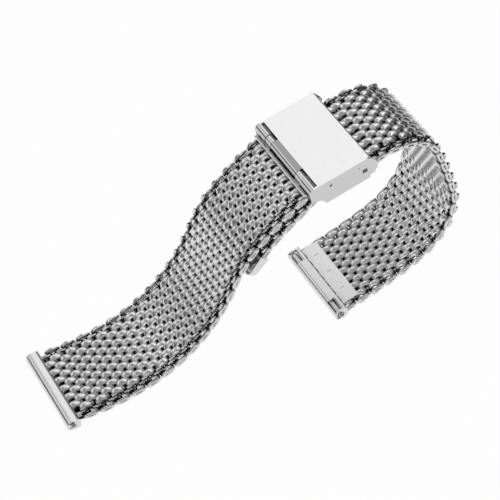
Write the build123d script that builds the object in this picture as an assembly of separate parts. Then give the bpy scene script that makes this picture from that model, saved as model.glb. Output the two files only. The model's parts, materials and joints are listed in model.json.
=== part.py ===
from build123d import *
import os
from math import atan2, cos, degrees, hypot, pi, radians, sin

# Steel milanese watch band, closed, standing on its two lug ends. Millimetres.
# The model is drawn in the clasp's own side view: x to the right along the cover, z up,
# y across the strap, with the cover's top face at z = 0. At the end the whole band is
# turned until both lug ends stand on z = 0.

# Mesh
row_pitch = 1.7            # from one coil row to the next
band_thickness = 2.5       # height of the oval coils
mesh_inset = 0.1           # the mesh is this much narrower than a lug end, at each side
row_stagger = 0.18         # how much shorter every other row is, at each end
hinge_gap = 0.2            # free space between two rows that pivot
coil_width = 2.7           # a coil row's oval section is drawn as a hexagon this wide,
coil_flat = 1.0            # with rolled flats this wide on the strap's two faces
pivot_sides = 12           # a row that pivots is rounder

# Straps as drawn from the clasp to the lug: coil rows in each stretch, and its bend in degrees
short_row_counts = [6, 6, 4, 6, 7, 8]
short_bends = [12, 22.5, -10.5, -19, -25.5, -12]
long_row_counts = [4, 6, 7, 6, 6, 10]
long_bends = [-28.5, -60, -4, -44.5, -38.5, -10.5]
tail_row_counts = [5, 5]
tail_bends = [-7, 14]
clasp_rows = 7             # rows of the long strap inside the clasp
short_start = (-4.3, -3.4)     # first pivot of the short strap
short_heading = 200
long_kink = 8              # lift of the long strap where it leaves the clasp, degrees
tail_kink = 30             # drop of the tail where it leaves the clasp, degrees

# Lug ends
lug_width = 19.5           # goes between lugs 20 mm apart
lug_length = 2.9
lip_radius = 1.1
shoulder_radius = 0.8      # outer corner at the mesh, which the last wires bend over
throat_radius = 0.3        # inner corner at the mesh
bar_bore = 1.7
bar_at = 1.65              # spring bar's place, from the mesh
seam_height = 0.75         # seam of the folded sheet, above the bar's axis
seam_width = 0.2
groove_at = 1.85
groove_depth = 0.1
notch_start = 0.7
notch_end = 2.5
notch_inner = 6.1          # half way across to where the notch begins
notch_wall = 0.4           # end wall outside the notch
notch_depth = 0.9
clamp_half = 8.5
clamp_reach = 3.6
clamp_sheet = 0.35
clamp_gap = 0.15           # from the clamp plate's edge to the tube
clamp_bend = 0.9           # that edge is bent down from here
clamp_dip = 0.3            # by this much
weld_diameter = 0.9
weld_depth = 0.1
spot_sides = 16            # sides of welds and other small round dimples
weld_share = 0.62          # outer welds, as a share of the half width
seat_gap = 0.02            # between pieces that are welded or pressed together

# Spring bars
barrel_diameter = 1.5
barrel_wall = 0.1
barrel_inset = 0.7         # from the lug end's face to the barrel's mouth
barrel_lip = 0.3
tip_diameter = 0.8
tip_reach = 0.8            # how far a tip stands out of the lug end
shank_diameter = 1.12      # the thicker part of a tip, inside the lug end
shoulder_diameter = 1.26
shoulder_length = 0.6
tip_clearance = 0.03
coil_diameter = 1.2
coil_bore = 0.8
coil_sides = 12

# Cover
cover_gap = 0.08           # between the slider's ears and the cover's walls
cover_length = 11.6
cover_sheet = 0.4
cover_edge_radius = 0.35
cover_lip = 0.95           # depth of the turned-down right edge
wall_height = 5.4
wall_reach = 12.8          # how far the side ears reach to the right
wall_corner = 0.35
# Side wall from the hinge round the skirt to the ear: shares of its length and height
wall_shares = [
    (0.0, 0.2), (0.0, 0.59), (0.108, 0.7), (0.155, 0.78), (0.19, 1.0), (0.845, 0.98),
    (0.872, 0.81), (0.973, 0.72), (1.0, 0.46), (0.946, 0.17), (0.872, 0.0), (0.074, 0.0),
]
catch_hole = (9.83, -2.8)
catch_size = 1.05
catch_tab = (0.7, 0.3)
tab_proud = 0.05
side_dimple = (2.57, -1.4)
dimple_diameter = 0.7
dimple_depth = 0.2

# Hinge of the cover
pin_x = -0.9
pin_z = -1.1
pin_diameter = 1.0
pin_clearance = 0.03
end_knuckle_radius = 1.1
knuckle_radius = 0.95
tongue_half = 4.6          # half width of the cover's middle knuckle
hook_width = 1.9           # width of the strap's two knuckles and hooks
knuckle_gap = 0.1
plate_start = 0.05         # left edge of the cover's plate

# End fitting of the short strap
seat_thickness = 0.35
seat_from = -10            # the seat's reach round the first row, degrees
seat_to = 85
swing_clearance = 0.2
web_width = 0.9
hook_sheet = 0.35
hook_clearance = 0.05
hook_wrap = 20             # how far the hook goes under the bar's side, degrees

# Slider that the long strap runs through
run_height = -3.55         # middle of the strap inside the clasp
tail_pivot_x = 1.2
slider_left = 3.4
slider_right = 12.1
slider_floor = 0.35
slider_gap = 0.15          # under the mesh
ear_sheet = 0.28
ear_gap = 0.09             # beside the mesh
ear_top = -2.1
ear_lug_radius = 0.75
ear_slope = 1.3            # drop of the ear's front edge
latch_bar = (2.0, -1.6)
latch_diameter = 0.9

# Locking lever
lever_pin = (8.8, -1.35)
lever_pin_diameter = 0.7
lever_barrel_radius = 0.7
lever_inset = 0.3          # from the mesh's edge to the lever's end
lever_left = 3.5
lever_sheet = 0.35
lever_top = -0.8
lever_grip = 0.45          # turned-down grip at the free end
ridge_height = 0.1         # free space under the ridge
ridge_width = 0.35
ridge_root = 0.9

# Tail tip
tip_length = 5.0
tip_root_thickness = 2.1
tip_end_thickness = 1.5
tip_corner = 1.6

cut_over = 2.0             # overrun of cuts
row_radius = band_thickness / 2
mesh_half = lug_width / 2 - mesh_inset
barrel_half = lug_width / 2 - barrel_inset
lever_half = mesh_half - lever_inset
cover_half = mesh_half + ear_gap + ear_sheet + cover_gap + cover_sheet
pivot_inset = hinge_gap / 2 + row_radius
pressed_half = (band_thickness - clamp_sheet - seat_gap) / 2
pressed_offset = row_radius - pressed_half
short_strap = list(zip(short_row_counts, short_bends))
long_strap = list(zip(long_row_counts, long_bends))
tail_strap = list(zip(tail_row_counts, tail_bends))


def walk(frame, length, turn=0.0):
    """Follow an arc in the side view: x, z and heading after it."""
    x, z, heading = frame
    half = turn / 2
    chord = length * sin(half) / half if half else length
    return x + chord * cos(heading + half), z + chord * sin(heading + half), heading + turn


def side_plane(frame, outer=1):
    """Drawing plane on the strap: x along it, y towards its outer face."""
    x, z, heading = frame
    return Plane(origin=(x, 0, z), x_dir=(cos(heading), 0, sin(heading)), z_dir=(0, -outer, 0))


def slab(sketch, half, plane=Plane.XZ):
    """A side-view sketch made as wide as twice half."""
    return extrude(plane * sketch, amount=half, both=True)


def slab_pair(sketch, inner, outer, plane=Plane.XZ):
    """The same sketch at both sides, from inner to outer across the strap."""
    one = slab(sketch, (outer - inner) / 2, plane)
    middle = (outer + inner) / 2
    return Pos(0, middle, 0) * one + Pos(0, -middle, 0) * one


def block(left, right, low, high):
    """Rectangle between two x values and two z values."""
    return Pos((left + right) / 2, (low + high) / 2) * Rectangle(right - left, high - low)


def disc(place, radius):
    return Pos(*place) * Circle(radius)


def spot(place, radius):
    """A small round dimple."""
    return Pos(*place) * RegularPolygon(radius, spot_sides)


def coil(place, heading, half_height):
    """Section of one coil row, with valleys between it and its neighbours."""
    wide = coil_width / 2
    flat = coil_flat / 2
    side = Polygon((wide, 0), (flat, half_height), (-flat, half_height), (-wide, 0),
                   (-flat, -half_height), (flat, -half_height), align=None)
    return Pos(*place) * Rot(0, 0, degrees(heading)) * side


def pivot_coil(place, heading):
    """Section of a row that pivots against its neighbour."""
    turn = Rot(0, 0, degrees(heading + pi / pivot_sides))
    return Pos(*place) * turn * RegularPolygon(row_radius, pivot_sides)


def pivots(start, stretches):
    """Frames at the start of each stretch of a strap, and at its end."""
    frames = [start]
    for rows, bend in stretches:
        frames.append(walk(frames[-1], rows * row_pitch, radians(bend)))
    return frames


def mesh_piece(sketches):
    """Coil rows side by side, every other one a little shorter."""
    outline = Sketch() + sketches
    body = slab(outline, mesh_half - row_stagger)
    for sketch in sketches[::2]:
        body += slab(sketch, mesh_half)
    return body


def mesh_stretch(frame, rows, bend):
    """Rows between two pivots, with a half-round row at each end."""
    length = rows * row_pitch
    spacing = (length - 2 * pivot_inset) / (rows - 1)
    sketches = []
    for i in range(rows):
        along = pivot_inset + i * spacing
        x, z, heading = walk(frame, along, radians(bend) * along / length)
        if i in (0, rows - 1):
            sketches.append(pivot_coil((x, z), heading))
        else:
            sketches.append(coil((x, z), heading, row_radius))
    return mesh_piece(sketches)


def end_place(frame, length, bend, along):
    """Place on a last stretch, which runs straight under the clamp plate."""
    bent = length - clamp_reach
    if along < bent:
        return walk(frame, along, bend * along / bent)
    return walk(walk(frame, bent, bend), along - bent)


def mesh_end(frame, rows, bend, outer):
    """Last stretch of a strap: the rows under the clamp plate are pressed thinner."""
    length = rows * row_pitch
    reach = coil_width / 2
    spacing = (length - pivot_inset - reach - seat_gap) / (rows - 1)
    sketches = []
    for i in range(rows):
        along = pivot_inset + i * spacing
        x, z, heading = end_place(frame, length, radians(bend), along)
        half_height = row_radius
        if length - along < clamp_reach + reach:
            half_height = pressed_half
            x -= outer * pressed_offset * sin(heading)
            z += outer * pressed_offset * cos(heading)
        if i:
            sketches.append(coil((x, z), heading, half_height))
        else:
            sketches.append(pivot_coil((x, z), heading))
    return mesh_piece(sketches)


def clasp_cover():
    """One bent sheet: plate, two side walls, two end knuckles and a middle one."""
    wall_left = pin_x - end_knuckle_radius
    wall_length = wall_reach - wall_left
    points = [(wall_left + a * wall_length, -b * wall_height) for a, b in wall_shares]
    wall = Polygon(*points, align=None)
    wall = fillet(wall.vertices(), wall_corner) + disc((pin_x, pin_z), end_knuckle_radius)
    inner_half = cover_half - cover_sheet
    walls = slab_pair(wall, inner_half, cover_half)
    plate = block(plate_start, cover_length, -cover_sheet, 0)
    plate += block(cover_length - cover_sheet, cover_length, -cover_lip, 0)
    plate = fillet(plate.vertices().sort_by(Axis.Y)[-2:].sort_by(Axis.X)[-1], cover_edge_radius)
    cover = walls + slab(plate, cover_half - cover_sheet / 2)
    section = Pos(0, -wall_height / 2) * Rectangle(2 * cover_half, wall_height + 2 * cover_sheet)
    section -= Pos(0, cover_sheet / 2) * Rectangle(2 * cover_half, cover_sheet)
    section = fillet(section.vertices().sort_by(Axis.Y)[-2:], cover_edge_radius)
    cover &= extrude(Plane.YZ * section, amount=wall_reach + cut_over, both=True)
    cover += slab_pair(disc((pin_x, pin_z), end_knuckle_radius), tongue_half + hook_width
                       + 2 * knuckle_gap, inner_half + cover_sheet / 2)
    bridge = Polygon((plate_start + cover_sheet, 0), (pin_x, pin_z + knuckle_radius),
                     (pin_x, pin_z), (plate_start + cover_sheet, -cover_sheet), align=None)
    cover += slab(bridge + disc((pin_x, pin_z), knuckle_radius), tongue_half)
    cover -= slab(disc((pin_x, pin_z), pin_diameter / 2 + pin_clearance), inner_half)
    cover -= slab(Pos(*catch_hole) * Rectangle(catch_size, catch_size), cover_half + cut_over)
    cover -= slab_pair(spot(side_dimple, dimple_diameter / 2), cover_half - dimple_depth,
                       cover_half + cut_over)
    cover -= slab_pair(spot(lever_pin, dimple_diameter / 4), cover_half - dimple_depth / 2,
                       cover_half + cut_over)
    return cover


def hinge_pin():
    return slab(disc((pin_x, pin_z), pin_diameter / 2), cover_half - cover_sheet - seat_gap)


def first_row(pivot):
    """Centre of the row that is welded to the short strap's end fitting."""
    x, z, heading = walk(pivot, -pivot_inset)
    return x, z


def hook_plate(row):
    """End fitting of the short strap: a seat for the first row, two knuckles and two hooks."""
    hold = row_radius + seat_gap
    reach = hypot(pin_x - row[0], pin_z - row[1])
    far = reach + cut_over
    edge = [(far * cos(radians(a)), far * sin(radians(a))) for a in (seat_from, seat_to)]
    seat = Circle(hold + seat_thickness) & Polygon((0, 0), *edge, align=None)
    plate = slab(Pos(*row) * seat - disc((pin_x, pin_z), end_knuckle_radius + swing_clearance)
                 - disc(row, hold), mesh_half - row_stagger)
    lean = degrees(atan2(pin_z - row[1], pin_x - row[0]))
    web = Pos(*row) * Rot(0, 0, lean) * Pos(reach / 2, 0) * Rectangle(reach, web_width)
    arm = disc((pin_x, pin_z), knuckle_radius) + web - disc(row, hold)
    inside = latch_diameter / 2 + hook_clearance
    outside = inside + hook_sheet
    arm += block(pin_x, latch_bar[0], latch_bar[1] + inside, latch_bar[1] + outside)
    wrap = Circle(outside) - Circle(inside)
    low = -outside * sin(radians(hook_wrap))
    arm += Pos(*latch_bar) * (wrap & block(0, outside, low, outside))
    arm -= disc((pin_x, pin_z), pin_diameter / 2 + pin_clearance)
    inner = tongue_half + knuckle_gap
    return plate + slab_pair(arm, inner, inner + hook_width)


def slider_frame():
    """Open box round the long strap: a floor and two thin ears that carry the pins."""
    floor_top = run_height - row_radius - slider_gap
    floor_low = floor_top - slider_floor
    inner = mesh_half + ear_gap
    outer = inner + ear_sheet
    front = latch_bar[0] - ear_lug_radius
    ear = Polygon((slider_left, floor_low), (slider_right, floor_low), (slider_right, ear_top),
                  (front, ear_top), (front, ear_top - ear_lug_radius / 2),
                  (slider_left, ear_top - ear_slope), align=None)
    ear += disc(latch_bar, ear_lug_radius) + disc(lever_pin, ear_lug_radius)
    ear += block(lever_pin[0] - ear_lug_radius, lever_pin[0] + ear_lug_radius, ear_top, lever_pin[1])
    ear -= disc(latch_bar, latch_diameter / 2 + seat_gap)
    ear -= disc(lever_pin, lever_pin_diameter / 2 + seat_gap)
    frame = slab_pair(ear, inner, outer)
    frame += slab(block(slider_left, slider_right, floor_low, floor_top), outer)
    tab = Pos(*catch_hole) * Rectangle(*catch_tab)
    return frame + slab_pair(tab, inner, outer + tab_proud)


def cross_pin(place, diameter):
    """Pin between the slider's ears."""
    return slab(disc(place, diameter / 2), mesh_half + ear_gap + ear_sheet)


def locking_lever():
    """Plate over the mesh, rolled round its pin, with a ridge that bites the mesh."""
    x, z = lever_pin
    plate = block(lever_left, x, lever_top - lever_sheet, lever_top)
    plate += block(lever_left, lever_left + lever_sheet, lever_top - lever_sheet - lever_grip,
                   lever_top)
    low = run_height + row_radius + ridge_height
    tooth = x - lever_barrel_radius
    ridge = Polygon((x, z), (tooth - ridge_root / 2, lever_top - lever_sheet / 2), (tooth, low),
                    (tooth + ridge_width, low), align=None)
    side = plate + ridge + disc(lever_pin, lever_barrel_radius)
    return slab(side - disc(lever_pin, lever_pin_diameter / 2 + pin_clearance), lever_half)


def tail_tip(frame):
    """Smooth blunt end of the tail, with rounded corners in plan."""
    nose = tip_end_thickness / 2
    root = tip_root_thickness / 2
    side = Polygon((seat_gap, root), (seat_gap, -root), (tip_length - nose, -nose),
                   (tip_length - nose, nose), align=None)
    side += disc((tip_length - nose, 0), nose)
    plan = Rectangle(2 * tip_length, 2 * mesh_half)
    plan = fillet(plan.vertices(), tip_corner)
    plane = side_plane(frame)
    plan_plane = Plane(origin=plane.origin, x_dir=plane.x_dir, z_dir=plane.y_dir)
    return slab(side, mesh_half, plane) & extrude(plan_plane * plan, amount=cut_over, both=True)


def lug_tube(frame, outer):
    """Folded end tube: bore for the spring bar, seam, groove and two notches inside."""
    side = block(0, lug_length, -row_radius, row_radius)
    lips = side.vertices().sort_by(Axis.X)
    side = fillet(lips[-2:], lip_radius)
    mouth = side.vertices().sort_by(Axis.X)[:2].sort_by(Axis.Y)
    side = fillet(mouth[-1], shoulder_radius)
    side = fillet(side.vertices().sort_by(Axis.X)[:2].sort_by(Axis.Y)[0], throat_radius)
    side -= disc((bar_at, 0), bar_bore / 2)
    side -= block(bar_at, lug_length + cut_over, seam_height - seam_width / 2,
                  seam_height + seam_width / 2)
    side -= block(groove_at - groove_depth, groove_at + groove_depth, row_radius - groove_depth,
                  row_radius + cut_over)
    plane = side_plane(frame, outer)
    tube = slab(side, lug_width / 2, plane)
    notch = block(notch_start, notch_end, -row_radius - cut_over, notch_depth - row_radius)
    return tube - slab_pair(notch, notch_inner, lug_width / 2 - notch_wall, plane)


def lug_clamp(frame, outer):
    """Plate on the strap's inner face, with one edge bent down and three weld dimples."""
    low = -row_radius
    edge = clamp_dip - row_radius
    side = Polygon((-clamp_reach, low), (-clamp_bend, low), (-clamp_gap, edge),
                   (-clamp_gap, edge + clamp_sheet), (-clamp_bend, low + clamp_sheet),
                   (-clamp_reach, low + clamp_sheet), align=None)
    plane = side_plane(frame, outer)
    plate = slab(side, clamp_half, plane)
    down = Plane(origin=plane.origin, x_dir=plane.x_dir, z_dir=plane.y_dir)
    for share in (-weld_share, 0, weld_share):
        weld = spot((-clamp_reach / 2, share * clamp_half), weld_diameter / 2)
        face = Pos(0, 0, -row_radius)
        plate -= extrude(down * face * weld, amount=weld_depth, both=True)
    return plate


def bar_axis(frame, outer):
    """Plane with its origin on the spring bar's axis and its normal across the strap."""
    plane = side_plane(frame, outer)
    return Plane(origin=plane.from_local_coords((bar_at, 0)), z_dir=(0, 1, 0))


def rod(plane, start, end, diameter):
    """Round rod along the bar's axis from start to end."""
    return extrude(plane.offset(start) * Circle(diameter / 2), amount=end - start)


def bar_barrel(axis):
    """Spring bar's tube with both mouths turned in."""
    tube = rod(axis, -barrel_half, barrel_half, barrel_diameter)
    room = barrel_half - barrel_lip
    tube -= rod(axis, -room, room, barrel_diameter - 2 * barrel_wall)
    return tube - rod(axis, -barrel_half, barrel_half, shank_diameter + 2 * tip_clearance)


def bar_tip(axis, side):
    """Sprung tip: a shoulder inside the barrel and a pin that stands out of the lug end."""
    face = barrel_half - barrel_lip - tip_clearance
    step = lug_width / 2
    tip = rod(axis, side * (face - shoulder_length), side * face, shoulder_diameter)
    tip += rod(axis, side * face, side * step, shank_diameter)
    pin = rod(axis, side * step, side * (step + tip_reach), tip_diameter)
    rim = pin.edges().filter_by(GeomType.CIRCLE).sort_by(Axis.Y)
    return tip + chamfer(rim[-1] if side > 0 else rim[0], tip_diameter / 6)


def bar_spring(axis):
    """Room that the coil spring takes between the two shoulders."""
    half = barrel_half - barrel_lip - shoulder_length - 2 * tip_clearance
    ring = RegularPolygon(coil_diameter / 2, coil_sides) - RegularPolygon(coil_bore / 2, coil_sides)
    return extrude(axis.offset(-half) * ring, amount=2 * half)


def add_lug(parts, name, frame, outer):
    parts[f"{name}_lug_tube"] = lug_tube(frame, outer)
    parts[f"{name}_lug_clamp"] = lug_clamp(frame, outer)
    axis = bar_axis(frame, outer)
    parts[f"{name}_bar_barrel"] = bar_barrel(axis)
    parts[f"{name}_bar_spring"] = bar_spring(axis)
    parts[f"{name}_bar_tip_far"] = bar_tip(axis, 1)
    parts[f"{name}_bar_tip_near"] = bar_tip(axis, -1)


def add_strap(parts, name, frames, stretches, outer):
    """All stretches of a strap; the last one ends in the lug."""
    for i, (rows, bend) in enumerate(stretches[:-1]):
        parts[f"{name}_mesh_{i + 1}"] = mesh_stretch(frames[i], rows, bend)
    rows, bend = stretches[-1]
    parts[f"{name}_mesh_{len(stretches)}"] = mesh_end(frames[-2], rows, bend, outer)
    add_lug(parts, name, frames[-1], outer)


def strap_frames(start, stretches):
    """Frames of a strap whose last stretch ends in a lug."""
    frames = pivots(start, stretches[:-1])
    rows, bend = stretches[-1]
    length = rows * row_pitch
    return frames + [end_place(frames[-1], length, radians(bend), length)]


short_frames = strap_frames((*short_start, radians(short_heading)), short_strap)
long_pivot_x = tail_pivot_x + clasp_rows * row_pitch
long_frames = strap_frames((long_pivot_x, run_height, radians(long_kink)), long_strap)
tail_frames = pivots((tail_pivot_x, run_height, radians(180 + tail_kink)), tail_strap)


def foot(frame, outer, face):
    """Centre of the lip corner that the lug end stands on."""
    plane = side_plane(frame, outer)
    return plane.from_local_coords((lug_length - lip_radius, face * (row_radius - lip_radius)))


short_foot = foot(short_frames[-1], -1, -1)
long_foot = foot(long_frames[-1], 1, 1)
ground = long_foot - short_foot
stand = Rot(0, degrees(atan2(ground.Z, ground.X)), 0)


def build():
    """All nodes in the drawing frame."""
    parts = {"clasp_cover": clasp_cover(), "hinge_pin": hinge_pin()}
    row = first_row(short_frames[0])
    parts["hook_plate"] = hook_plate(row)
    parts["slider_frame"] = slider_frame()
    parts["latch_bar"] = cross_pin(latch_bar, latch_diameter)
    parts["lever_pin"] = cross_pin(lever_pin, lever_pin_diameter)
    parts["locking_lever"] = locking_lever()
    parts["short_mesh_root"] = slab(disc(row, row_radius), mesh_half)
    add_strap(parts, "short", short_frames, short_strap, -1)
    parts["long_mesh_clasp"] = mesh_stretch((tail_pivot_x, run_height, 0), clasp_rows, 0)
    add_strap(parts, "long", long_frames, long_strap, 1)
    parts["tail_mesh_1"] = mesh_stretch(tail_frames[0], *tail_strap[0])
    parts["tail_mesh_2"] = mesh_stretch(tail_frames[1], *tail_strap[1])
    parts["tail_tip"] = tail_tip(tail_frames[-1])
    return parts


parts = {name: stand * part for name, part in build().items()}
box = Compound([*parts.values()]).bounding_box()
home = Pos(-box.center().X, 0, lip_radius - (stand * Pos(short_foot)).position.Z)
os.makedirs("parts", exist_ok=True)
for name, part in parts.items():
    export_step(home * part, f"parts/{name}.step")
print("nodes", len(parts), "size", box.size)
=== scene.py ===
import json
import math

import bmesh
import bpy
from mathutils import Matrix, Vector


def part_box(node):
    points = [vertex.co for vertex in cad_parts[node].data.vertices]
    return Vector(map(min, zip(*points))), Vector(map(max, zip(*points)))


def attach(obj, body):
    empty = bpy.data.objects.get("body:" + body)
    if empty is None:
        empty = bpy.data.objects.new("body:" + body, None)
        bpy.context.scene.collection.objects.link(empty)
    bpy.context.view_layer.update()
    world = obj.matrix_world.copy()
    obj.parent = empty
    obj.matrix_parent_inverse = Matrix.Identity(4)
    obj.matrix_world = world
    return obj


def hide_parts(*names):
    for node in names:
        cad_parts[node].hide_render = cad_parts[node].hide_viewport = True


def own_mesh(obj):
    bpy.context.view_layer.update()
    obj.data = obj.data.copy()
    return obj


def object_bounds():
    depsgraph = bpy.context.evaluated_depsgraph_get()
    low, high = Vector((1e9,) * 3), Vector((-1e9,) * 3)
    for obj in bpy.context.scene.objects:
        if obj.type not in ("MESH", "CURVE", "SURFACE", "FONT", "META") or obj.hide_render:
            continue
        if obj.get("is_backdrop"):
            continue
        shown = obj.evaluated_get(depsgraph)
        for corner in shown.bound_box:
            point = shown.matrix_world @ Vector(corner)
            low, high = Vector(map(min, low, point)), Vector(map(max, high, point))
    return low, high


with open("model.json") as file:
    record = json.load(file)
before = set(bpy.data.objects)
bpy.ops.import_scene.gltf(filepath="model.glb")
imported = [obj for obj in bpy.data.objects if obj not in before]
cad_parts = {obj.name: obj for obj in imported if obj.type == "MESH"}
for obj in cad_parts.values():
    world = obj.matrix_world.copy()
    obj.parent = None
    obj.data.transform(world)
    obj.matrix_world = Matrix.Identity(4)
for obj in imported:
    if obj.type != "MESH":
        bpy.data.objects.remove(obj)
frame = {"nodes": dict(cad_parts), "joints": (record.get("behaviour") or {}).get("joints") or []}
nodes = frame["nodes"]
cadLow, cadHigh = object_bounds()
mm = 0.001
print("frame loaded:", len(nodes), "nodes")


# The band is laid out in the clasp's side view, x along the cover and z up, in millimetres.
# Two of the clasp's joints say where that view lies in the frame.
sideView = {
    "coverHinge": (-0.9, -1.1),
    "leverLift": (8.8, -1.35),
}
jointAt = {joint["name"]: joint.get("pos_m") for joint in frame["joints"]}
hingeAt = Vector(jointAt["cover_hinge"])
leverAt = Vector(jointAt["lever_lift"])
drawnX = sideView["leverLift"][0] - sideView["coverHinge"][0]
drawnZ = sideView["leverLift"][1] - sideView["coverHinge"][1]
tilt = math.atan2(leverAt.z - hingeAt.z, leverAt.x - hingeAt.x) - math.atan2(drawnZ, drawnX)
fromSideView = (
    Matrix.Translation(hingeAt)
    @ Matrix.Rotation(-tilt, 4, "Y")
    @ Matrix.Scale(mm, 4)
    @ Matrix.Translation((-sideView["coverHinge"][0], 0, -sideView["coverHinge"][1]))
)


def newPiece(name, bm, material, body, replaced):
    data = bpy.data.meshes.new(name)
    bm.to_mesh(data)
    bm.free()
    data.materials.append(material)
    data.shade_smooth()
    piece = bpy.data.objects.new(name, data)
    bpy.context.scene.collection.objects.link(piece)
    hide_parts(*replaced)
    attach(piece, body)
    return piece


# Steel surfaces: one group makes the grain, the small dents and the colour drift of all of them
surfaceDetail = {
    "grain": 4,
    "drift": 2,
}


def steelSurface():
    # grain also makes the roughness go up and down between the smoothest and the roughest
    group = bpy.data.node_groups.new("steelSurface", "ShaderNodeTree")
    face = group.interface
    face.new_socket("Tone", in_out="INPUT", socket_type="NodeSocketColor")
    face.new_socket("Shade", in_out="INPUT", socket_type="NodeSocketColor")
    face.new_socket("Stretch", in_out="INPUT", socket_type="NodeSocketVector")
    for name in ("Grain", "Drift", "Smoothest", "Roughest"):
        face.new_socket(name, in_out="INPUT", socket_type="NodeSocketFloat")
    face.new_socket("Color", in_out="OUTPUT", socket_type="NodeSocketColor")
    face.new_socket("Roughness", in_out="OUTPUT", socket_type="NodeSocketFloat")
    face.new_socket("Height", in_out="OUTPUT", socket_type="NodeSocketFloat")
    make = group.nodes.new
    link = group.links.new
    inlet = make("NodeGroupInput")
    outlet = make("NodeGroupOutput")
    place = make("ShaderNodeTexCoord")
    stretch = make("ShaderNodeVectorMath")
    stretch.operation = "MULTIPLY"
    grain = make("ShaderNodeTexNoise")
    grain.inputs["Detail"].default_value = surfaceDetail["grain"]
    drift = make("ShaderNodeTexNoise")
    drift.inputs["Detail"].default_value = surfaceDetail["drift"]
    mix = make("ShaderNodeMix")
    mix.data_type = "RGBA"
    rough = make("ShaderNodeMapRange")
    link(place.outputs["Object"], stretch.inputs[0])
    link(inlet.outputs["Stretch"], stretch.inputs[1])
    link(stretch.outputs[0], grain.inputs["Vector"])
    link(inlet.outputs["Grain"], grain.inputs["Scale"])
    link(place.outputs["Object"], drift.inputs["Vector"])
    link(inlet.outputs["Drift"], drift.inputs["Scale"])
    link(drift.outputs["Fac"], mix.inputs["Factor"])
    link(inlet.outputs["Tone"], mix.inputs["A"])
    link(inlet.outputs["Shade"], mix.inputs["B"])
    link(grain.outputs["Fac"], rough.inputs["Value"])
    link(inlet.outputs["Smoothest"], rough.inputs["To Min"])
    link(inlet.outputs["Roughest"], rough.inputs["To Max"])
    link(mix.outputs["Result"], outlet.inputs["Color"])
    link(rough.outputs["Result"], outlet.inputs["Roughness"])
    link(grain.outputs["Fac"], outlet.inputs["Height"])
    return group


surfaceGroup = steelSurface()


def paintCreviceShade(tree, colour, look):
    # the mesh carries how deep each of its points lies between the faces, from 0 to 1, and the
    # colour is painted darker with that depth: painted shade in the gaps between the wires and on
    # their sides
    depth = tree.nodes.new("ShaderNodeAttribute")
    depth.attribute_name = "depth"
    ramp = tree.nodes.new("ShaderNodeValToRGB")
    bright, dark = ramp.color_ramp.elements
    bright.position, dark.position = look["paintedShadeDepths"]
    bright.color = (1, 1, 1, 1)
    dark.color = (*look["paintedShadeTone"], 1)
    darken = tree.nodes.new("ShaderNodeMix")
    darken.data_type = "RGBA"
    darken.blend_type = "MULTIPLY"
    darken.inputs["Factor"].default_value = 1
    tree.links.new(depth.outputs["Fac"], ramp.inputs["Fac"])
    tree.links.new(colour, darken.inputs["A"])
    tree.links.new(ramp.outputs["Color"], darken.inputs["B"])
    return darken.outputs["Result"]


def steel(look):
    material = bpy.data.materials.new(look["name"])
    material.use_nodes = True
    tree = material.node_tree
    shader = tree.nodes["Principled BSDF"]
    shader.inputs["Metallic"].default_value = 1
    surface = tree.nodes.new("ShaderNodeGroup")
    surface.node_tree = surfaceGroup
    surface.inputs["Tone"].default_value = (*look["tone"], 1)
    surface.inputs["Shade"].default_value = (*look["shade"], 1)
    surface.inputs["Stretch"].default_value = look["stretch"]
    surface.inputs["Grain"].default_value = look["grain"]
    surface.inputs["Drift"].default_value = look["drift"]
    surface.inputs["Smoothest"].default_value = look["smoothest"]
    surface.inputs["Roughest"].default_value = look["roughest"]
    bump = tree.nodes.new("ShaderNodeBump")
    bump.inputs["Strength"].default_value = look["bump"]
    bump.inputs["Distance"].default_value = look["bumpDepth"]
    colour = surface.outputs["Color"]
    # painted shade: a material with these depths gets its colour darkened where the mesh lies deep
    if "paintedShadeDepths" in look:
        colour = paintCreviceShade(tree, colour, look)
    tree.links.new(colour, shader.inputs["Base Color"])
    tree.links.new(surface.outputs["Roughness"], shader.inputs["Roughness"])
    tree.links.new(surface.outputs["Height"], bump.inputs["Height"])
    tree.links.new(bump.outputs["Normal"], shader.inputs["Normal"])
    return material


# the wire's colour carries painted shade, darker the deeper a point lies in the mesh
wireSteel = steel({
    "name": "wireSteel", "tone": (0.82, 0.82, 0.825), "shade": (0.74, 0.74, 0.745),
    "stretch": (1, 1, 1), "grain": 2600, "drift": 90, "smoothest": 0.2, "roughest": 0.34,
    "bump": 0.15, "bumpDepth": 0.00003, "paintedShadeDepths": (0.2, 0.55), "paintedShadeTone": (0.03, 0.03, 0.03),
})
mirrorSteel = steel({
    "name": "mirrorSteel", "tone": (0.62, 0.62, 0.625), "shade": (0.58, 0.58, 0.585),
    "stretch": (1, 1, 1), "grain": 900, "drift": 60, "smoothest": 0.16, "roughest": 0.2,
    "bump": 0.02, "bumpDepth": 0.00002,
})
satinSteel = steel({
    "name": "satinSteel", "tone": (0.74, 0.74, 0.745), "shade": (0.68, 0.68, 0.685),
    "stretch": (1, 0.08, 1), "grain": 3200, "drift": 120, "smoothest": 0.24, "roughest": 0.3,
    "bump": 0.01, "bumpDepth": 0.00002,
})
darkSteel = steel({
    "name": "darkSteel", "tone": (0.5, 0.5, 0.51), "shade": (0.4, 0.4, 0.41),
    "stretch": (1, 1, 1), "grain": 2000, "drift": 150, "smoothest": 0.25, "roughest": 0.4,
    "bump": 0.1, "bumpDepth": 0.00002,
})
print("steels made")


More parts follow.
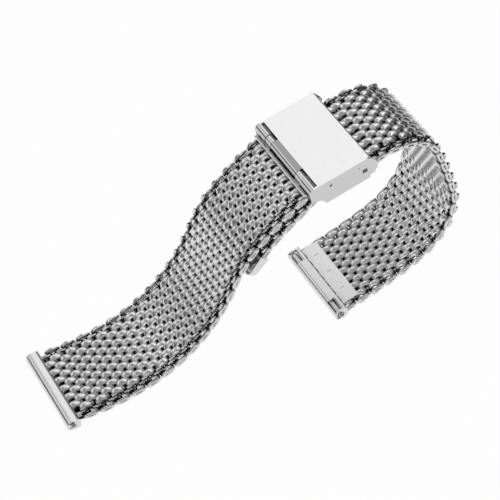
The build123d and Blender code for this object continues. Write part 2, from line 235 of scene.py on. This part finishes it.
# Milanese mesh: each row is one spiral of wire that runs across the strap and hooks into the
# rows beside it. Every other row ends half a turn further in. Lengths are in millimetres.
mesh = {
    "rowPitch": 1.7,
    "wireRadius": 0.46,
    "wireSpread": 1.28,     # rolling makes the wire this much wider than high
    "wireSides": 8,
    "steps": 16,            # sections in one turn of the wire
    "turns": 8,             # turns across the strap, in the wider rows
    "halfWidth": 9.65,
    "reach": 1.24,          # from the spiral's middle to its bends, along the strap
    "rise": 0.88,           # and to its two faces
    "boxiness": 0.95,       # 1 is an ellipse, less is squarer
    "sway": 0.4,            # how much of a turn's way across is made in the bends
    "lean": 0.3,            # how much straighter than that the wire lies on the outer face
    "innerLean": -0.3,      # and on the inner one
    "rolledAt": 1.25,       # both faces are rolled flat at this height
    "clampReach": 3.6,      # how far a lug's clamp plate covers the strap
    "clampShare": 0.5,      # a row is pressed from this share of its reach before the plate on
    "pressedRise": 0.85,    # and this much of its height is left
    "bendFrom": (0.35, 0.6),    # between these depths the bends start to be pressed together
    "bendSpread": 1.9,      # this much wider
    "bendDepth": 0.35,      # and this much deeper
    "endDepth": 0.62,       # at the strap's edges the wire ends in a flat loop, this deep
    "endWidth": 0.3,        # and this wide, from its middle
    "endBoxiness": 0.6,
    "endRise": 0.5,         # the loop's height, as a share of the mesh's
    "endPaintedShade": 0.25,       # the depth the loop is given, from 0 to 1, which sets how much painted shade its colour gets
}
# Each strap goes from its start in stretches of so many rows that bend by so many degrees,
# away from the clasp to the left or to the right
straps = {
    "short": {
        "start": (-4.3, -3.4), "heading": 200, "rows": [6, 6, 4, 6, 7, 8],
        "bends": [12, 22.5, -10.5, -19, -25.5, -12], "away": -1, "ends": "lug",
    },
    "long": {
        "start": (13.1, -3.55), "heading": 8, "rows": [4, 6, 7, 6, 6, 10],
        "bends": [-28.5, -60, -4, -44.5, -38.5, -10.5], "away": 1, "ends": "lug",
    },
    "tail": {
        "start": (1.2, -3.55), "heading": 210, "rows": [5, 5],
        "bends": [-7, 14], "away": -1, "ends": "tip",
    },
}
claspRun = {
    "start": (1.2, -3.55),
    "rows": 7,
}
turnPitch = 2 * (mesh["halfWidth"] - mesh["wireRadius"]) / mesh["turns"]


def ovalWire(verts, depth, half, isEnd=False):
    # turns the round spiral, or the round loop at its end, into the flat oval one: centre is
    # where the wire's middle line runs at a vert, and out how far the vert lies outside it
    power = mesh["endBoxiness"] if isEnd else mesh["boxiness"]
    first, last = mesh["bendFrom"]
    for vert in verts:
        x, y, z = vert.co
        sine, cosine = Vector((x, z)).normalized()
        turned = math.atan2(x, z) / math.tau
        centre = -half + turnPitch * (round((y + half) / turnPitch - turned) + turned)
        out = math.hypot(x, z) - mesh["reach"]
        wide = math.copysign(abs(sine) ** power, sine) * mesh["reach"]
        high = math.copysign(abs(cosine) ** power, cosine) * mesh["rise"]
        normal = Vector((
            math.copysign(abs(sine) ** (2 - power), sine) / mesh["reach"],
            math.copysign(abs(cosine) ** (2 - power), cosine) / mesh["rise"],
        )).normalized()
        high += normal.y * out
        if isEnd:
            # the end loops get one depth, and so one even painted shade
            vert[depth] = mesh["endPaintedShade"]
            high *= mesh["endRise"]
        else:
            # how far below the rolled faces the wire lies, which paints its colour darker as painted
            # shade
            vert[depth] = max(0, 1 - abs(high) / mesh["rolledAt"])
            inside = max(0, min(1, (vert[depth] - first) / (last - first)))
            if abs(centre) > half - turnPitch / 2:
                inside = 0
            out *= 1 + mesh["bendDepth"] * inside
            y += (y - centre) * mesh["bendSpread"] * inside
            lean = mesh["innerLean"] + (mesh["lean"] - mesh["innerLean"]) * (1 + cosine) / 2
            y -= turnPitch / math.tau * mesh["sway"] * 2 * sine * cosine + lean * sine
            y = max(-half, min(half, y))
        z = max(-mesh["rolledAt"], min(mesh["rolledAt"], high))
        vert.co = (wide + normal.x * out, y, z)


# The rings that get spun stand across the wire, with a side and not a corner facing out
halfSide = Matrix.Rotation(math.pi / mesh["wireSides"], 4, "Z")
acrossWire = Matrix.Rotation(math.pi / 2, 4, "Y") @ halfSide
wireSection = Matrix.Diagonal((1, mesh["wireSpread"], 1, 1)) @ acrossWire
endRatio = mesh["endWidth"] / mesh["endDepth"]
endSection = Matrix.Diagonal((1, endRatio, 1, 1)) @ acrossWire


def ring(bm, sides, radius, section):
    # the verts and edges of one circle, ready to be spun
    verts = bmesh.ops.create_circle(bm, segments=sides, radius=radius, matrix=section)["verts"]
    return verts + list({edge for vert in verts for edge in vert.link_edges})


def spiralRow(turns):
    half = turnPitch * turns / 2
    bm = bmesh.new()
    section = Matrix.Translation((0, -half, mesh["reach"])) @ wireSection
    wire = ring(bm, mesh["wireSides"], mesh["wireRadius"], section)
    bmesh.ops.spin(
        bm, geom=wire, cent=(0, 0, 0), axis=(0, 1, 0), dvec=(0, turnPitch / mesh["steps"], 0),
        angle=math.tau * turns, steps=mesh["steps"] * turns,
    )
    depth = bm.verts.layers.float.new("depth")
    ovalWire(bm.verts, depth, half)
    spiralVerts = len(bm.verts)
    # each end of the wire closes into an oval loop
    for side in (-1, 1):
        middle = mesh["reach"] + mesh["wireRadius"] - mesh["endDepth"]
        section = Matrix.Translation((0, side * half, middle)) @ endSection
        loop = ring(bm, mesh["wireSides"], mesh["endDepth"], section)
        bmesh.ops.spin(
            bm, geom=loop, cent=(0, 0, 0), axis=(0, 1, 0),
            angle=math.tau, steps=mesh["steps"], use_merge=True,
        )
    bm.verts.ensure_lookup_table()
    ovalWire(bm.verts[spiralVerts:], depth, half, isEnd=True)
    bmesh.ops.recalc_face_normals(bm, faces=bm.faces)
    data = bpy.data.meshes.new("spiralRow")
    bm.to_mesh(data)
    bm.free()
    return data


def followArc(place, length, turn=0.0):
    # the place and heading at the end of an arc that starts at the given ones
    x, z, heading = place
    half = turn / 2
    chord = length * math.sin(half) / half if half else length
    return x + chord * math.cos(heading + half), z + chord * math.sin(heading + half), heading + turn


def alongStretch(place, rows, bend, isLast, along):
    # a strap's last stretch ends in a straight length under the clamp plate
    length = rows * mesh["rowPitch"]
    if not isLast:
        return followArc(place, along, math.radians(bend) * along / length)
    bent = length - mesh["clampReach"]
    if along < bent:
        return followArc(place, along, math.radians(bend) * along / bent)
    return followArc(followArc(place, bent, math.radians(bend)), along - bent)


wideRow = spiralRow(mesh["turns"])
narrowRow = spiralRow(mesh["turns"] - 1)


def addRow(bm, place, away, number, pressed=False):
    x, z, heading = place
    if away < 0:
        heading += math.pi
    first = len(bm.verts)
    bm.from_mesh(wideRow if number % 2 == 0 else narrowRow)
    bm.verts.ensure_lookup_table()
    where = fromSideView @ Matrix.Translation((x, 0, z)) @ Matrix.Rotation(-heading, 4, "Y")
    if pressed:
        # the outer face stays where it is
        shift = mesh["rolledAt"] * (1 - mesh["pressedRise"])
        where = where @ Matrix.Translation((0, 0, shift))
        where = where @ Matrix.Diagonal((1, 1, mesh["pressedRise"], 1))
    bmesh.ops.transform(bm, matrix=where, verts=bm.verts[first:])


def meshPieces(name, strap):
    place = (*strap["start"], math.radians(strap["heading"]))
    number = 0 if strap["away"] < 0 else claspRun["rows"]
    covered = mesh["clampReach"] + mesh["clampShare"] * mesh["reach"]
    for index, (rows, bend) in enumerate(zip(strap["rows"], strap["bends"]), 1):
        isLast = strap["ends"] == "lug" and index == len(strap["rows"])
        length = rows * mesh["rowPitch"]
        bm = bmesh.new()
        for row in range(rows):
            along = (row + 0.5) * mesh["rowPitch"]
            pressed = isLast and length - along < covered
            number += strap["away"]
            rowPlace = alongStretch(place, rows, bend, isLast, along)
            addRow(bm, rowPlace, strap["away"], number, pressed)
        replaced = [f"{name}_mesh_{index}"]
        newPiece(f"{name}Mesh{index}", bm, wireSteel, f"{name}_{index}", replaced)
        place = alongStretch(place, rows, bend, isLast, length)


for name, strap in straps.items():
    meshPieces(name, strap)

# The short strap's first row belongs to the clasp, and the long strap's run goes through it
bm = bmesh.new()
x, z = straps["short"]["start"]
rootPlace = followArc((x, z, math.radians(straps["short"]["heading"])), -0.5 * mesh["rowPitch"])
addRow(bm, rootPlace, -1, 0)
newPiece("shortMeshRoot", bm, wireSteel, "clasp", ["short_mesh_root"])

bm = bmesh.new()
x, z = claspRun["start"]
for row in range(claspRun["rows"]):
    addRow(bm, (x + (row + 0.5) * mesh["rowPitch"], z, 0), 1, row)
newPiece("longMeshClasp", bm, wireSteel, "long_run", ["long_mesh_clasp"])
print("mesh woven")


# Each spring bar hides one coil spring, made as two halves that its two tips press together
spring = {
    "coilRadius": 0.5,
    "wireRadius": 0.09,
    "wireSides": 5,
    "steps": 12,
    "turns": 13,
    "pressed": 0.75,        # how far a tip goes in
}
# The halves go from the bar's middle to its two tips
halves = {
    "far": 1,
    "near": -1,
}


def springHalf(name, word, side):
    low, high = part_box(f"{name}_bar_spring")
    middle = (Vector(low) + Vector(high)) / 2
    half = (high[1] - low[1]) / 2 - spring["wireRadius"] * mm
    bm = bmesh.new()
    turn = Matrix.Rotation(math.pi / 2, 4, "Y")
    section = Matrix.Translation((0, 0, spring["coilRadius"] * mm)) @ turn
    wire = ring(bm, spring["wireSides"], spring["wireRadius"] * mm, section)
    count = spring["steps"] * spring["turns"]
    bmesh.ops.spin(
        bm, geom=wire, cent=(0, 0, 0), axis=(0, 1, 0), dvec=(0, side * half / count, 0),
        angle=math.tau * spring["turns"], steps=count,
    )
    bmesh.ops.recalc_face_normals(bm, faces=bm.faces)
    bmesh.ops.translate(bm, vec=middle, verts=bm.verts)
    replaced = [f"{name}_bar_spring"]
    piece = newPiece(
        f"{name}Spring{word.title()}", bm, darkSteel, f"{name}_6", replaced,
    )
    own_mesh(piece)


for name in ("short", "long"):
    for word, side in halves.items():
        springHalf(name, word, side)
print("springs wound")


# Clasp and lug ends keep the frame's shapes and get their finishes here
finishes = {
    "clasp_cover": mirrorSteel,
    "hook_plate": satinSteel,
    "slider_frame": satinSteel,
    "locking_lever": satinSteel,
    "latch_bar": darkSteel,
    "lever_pin": darkSteel,
    "hinge_pin": darkSteel,
    "tail_tip": satinSteel,
}
for name in ("short", "long"):
    for piece in ("lug_tube", "lug_clamp", "bar_barrel", "bar_tip_far", "bar_tip_near"):
        finishes[f"{name}_{piece}"] = satinSteel
for name, material in finishes.items():
    data = nodes[name].data
    data.materials.clear()
    data.materials.append(material)
print("clasp and lug ends finished")


# Floor, light and camera
studio = {
    "floorSize": 3.0,
    "floorTone": (0.93, 0.93, 0.93),
    "floorRoughness": 0.9,
    "floorGlow": 0.97,      # how much of the floor's white doesn't depend on the lamps
    "worldFill": 0.42,      # the even light that falls on everything from the room
    # What the steel reflects of the room: an angle from straight up, in degrees to the right,
    # and the tone of the soft box or the dark card that hangs there
    "room": (
        (-150, 0.3), (-112, 0.75), (-80, 0.04), (-42, 1.15),
        (-14, 0.4), (5, 1.0), (54, 0.08), (104, 0.75),
    ),
    "frontDim": 0.5,        # how much of that is left on the camera's side
    "front": (0.1, 0.62),   # it grows to the whole between these places toward the back
    # The steel also reflects the white background, low down and behind the band
    "back": (0.82, 0.97),   # it starts between these places toward the back
    "horizon": (0.05, 0.3),  # and ends between these heights
}
bpy.ops.mesh.primitive_plane_add(size=studio["floorSize"])
floor = bpy.context.object
floor.name = "studioFloor"
floor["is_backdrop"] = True


def combined(tree, operation, first, second):
    node = tree.nodes.new("ShaderNodeMath")
    node.operation = operation
    tree.links.new(first, node.inputs[0])
    tree.links.new(second, node.inputs[1])
    return node.outputs[0]


def softStep(tree, source, span, results):
    # a soft step from the first result to the second one, over the span of the source
    step = tree.nodes.new("ShaderNodeMapRange")
    step.interpolation_type = "SMOOTHSTEP"
    step.inputs["From Min"].default_value = span[0]
    step.inputs["From Max"].default_value = span[1]
    step.inputs["To Min"].default_value = results[0]
    step.inputs["To Max"].default_value = results[1]
    tree.links.new(source, step.inputs["Value"])
    return step.outputs["Result"]


def directRays(tree):
    # 1 for the rays that come from the camera, straight, mirrored or through a clear piece
    paths = tree.nodes.new("ShaderNodeLightPath").outputs
    seen = combined(tree, "MAXIMUM", paths["Is Camera Ray"], paths["Is Glossy Ray"])
    return combined(tree, "MAXIMUM", seen, paths["Is Transmission Ray"])


def roomTone(tree, right, up):
    # the tones of the room, around the line from front to back
    turn = combined(tree, "ARCTAN2", right, up)
    share = tree.nodes.new("ShaderNodeMapRange")
    share.inputs["From Min"].default_value = -math.pi
    share.inputs["From Max"].default_value = math.pi
    room = tree.nodes.new("ShaderNodeValToRGB")
    room.color_ramp.interpolation = "EASE"
    spots = room.color_ramp.elements
    while len(spots) < len(studio["room"]):
        spots.new(0.5)
    for spot, (angle, tone) in zip(spots, studio["room"]):
        spot.position = (angle + 180) / 360
        spot.color = (tone, tone, tone, 1)
    tree.links.new(turn, share.inputs["Value"])
    tree.links.new(share.outputs["Result"], room.inputs["Fac"])
    return room.outputs["Color"]


floorPaint = bpy.data.materials.new("floorPaint")
floorPaint.use_nodes = True
tree = floorPaint.node_tree
shader = tree.nodes["Principled BSDF"]
shader.inputs["Base Color"].default_value = (*studio["floorTone"], 1)
shader.inputs["Roughness"].default_value = studio["floorRoughness"]
shader.inputs["Specular IOR Level"].default_value = 0
glow = tree.nodes.new("ShaderNodeEmission")
glow.inputs["Strength"].default_value = 1
blend = tree.nodes.new("ShaderNodeMixShader")
share = tree.nodes.new("ShaderNodeMath")
share.operation = "MULTIPLY"
share.inputs[1].default_value = studio["floorGlow"]
tree.links.new(directRays(tree), share.inputs[0])
tree.links.new(share.outputs[0], blend.inputs[0])
tree.links.new(shader.outputs[0], blend.inputs[1])
tree.links.new(glow.outputs[0], blend.inputs[2])
tree.links.new(blend.outputs[0], tree.nodes["Material Output"].inputs["Surface"])
floor.data.materials.append(floorPaint)

world = bpy.data.worlds.new("studioWorld")
bpy.context.scene.world = world
world.use_nodes = True
tree = world.node_tree
background = tree.nodes["Background"]
background.inputs["Color"].default_value = (1, 1, 1, 1)
direction = tree.nodes.new("ShaderNodeTexCoord")
paths = tree.nodes.new("ShaderNodeLightPath")
parts = tree.nodes.new("ShaderNodeSeparateXYZ")
reflected = tree.nodes.new("ShaderNodeMix")
reflected.inputs["B"].default_value = 1
strength = tree.nodes.new("ShaderNodeMix")
strength.inputs["A"].default_value = studio["worldFill"]
tree.links.new(direction.outputs["Generated"], parts.inputs[0])
right = parts.outputs["X"]
toBack = parts.outputs["Y"]
up = parts.outputs["Z"]
whole = softStep(tree, toBack, studio["front"], (studio["frontDim"], 1))
dimmed = combined(tree, "MULTIPLY", roomTone(tree, right, up), whole)
low = softStep(tree, up, studio["horizon"], (1, 0))
behind = softStep(tree, toBack, studio["back"], (0, 1))
white = combined(tree, "MULTIPLY", low, behind)
backdrop = combined(tree, "MAXIMUM", paths.outputs["Is Camera Ray"], white)
tree.links.new(backdrop, reflected.inputs["Factor"])
tree.links.new(dimmed, reflected.inputs["A"])
tree.links.new(directRays(tree), strength.inputs["Factor"])
tree.links.new(reflected.outputs["Result"], strength.inputs["B"])
tree.links.new(strength.outputs["Result"], background.inputs["Strength"])

# Each lamp hangs toward one side of the band, this far in metres from its middle
lamps = {
    "keyLamp": {"toward": (0.03, 0.61, 0.79), "far": 0.6, "size": 0.14, "power": 0.04},
    "topLamp": {"toward": (0.25, 0.1, 1.0), "far": 0.6, "size": 0.3, "power": 0.3},
    "sideLamp": {"toward": (-0.6, -0.8, 0.6), "far": 0.7, "size": 0.3, "power": 0.3},
}
middle = (cadLow + cadHigh) / 2
for name, lamp in lamps.items():
    data = bpy.data.lights.new(name, "AREA")
    data.size = lamp["size"]
    data.energy = lamp["power"]
    light = bpy.data.objects.new(name, data)
    toward = Vector(lamp["toward"]).normalized()
    light.location = middle + toward * lamp["far"]
    light.rotation_euler = toward.to_track_quat("Z", "Y").to_euler()
    bpy.context.scene.collection.objects.link(light)

view = {
    "place": (-72.29, -209.21, 264.91),  # from the outer foot of the short lug end, mm
    "look": (0.3416, 0.609, -0.7158),
    "roll": 0.55,
    "lens": 126.41,
    "sensor": 36,
    "clipStart": 0.01,
}
data = bpy.data.cameras.new("photoCamera")
data.sensor_width = view["sensor"]
data.lens = view["lens"]
data.clip_start = view["clipStart"]
camera = bpy.data.objects.new("photoCamera", data)
camera.location = Vector(view["place"]) * mm + Vector((cadLow.x, 0, 0))
aim = Vector(view["look"]).to_track_quat("-Z", "Y").to_matrix().to_4x4()
camera.rotation_euler = (aim @ Matrix.Rotation(math.radians(view["roll"]), 4, "Z")).to_euler()
bpy.context.scene.collection.objects.link(camera)
bpy.context.scene.camera = camera
bpy.context.scene.view_settings.view_transform = "Standard"
print("studio set")

low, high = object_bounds()
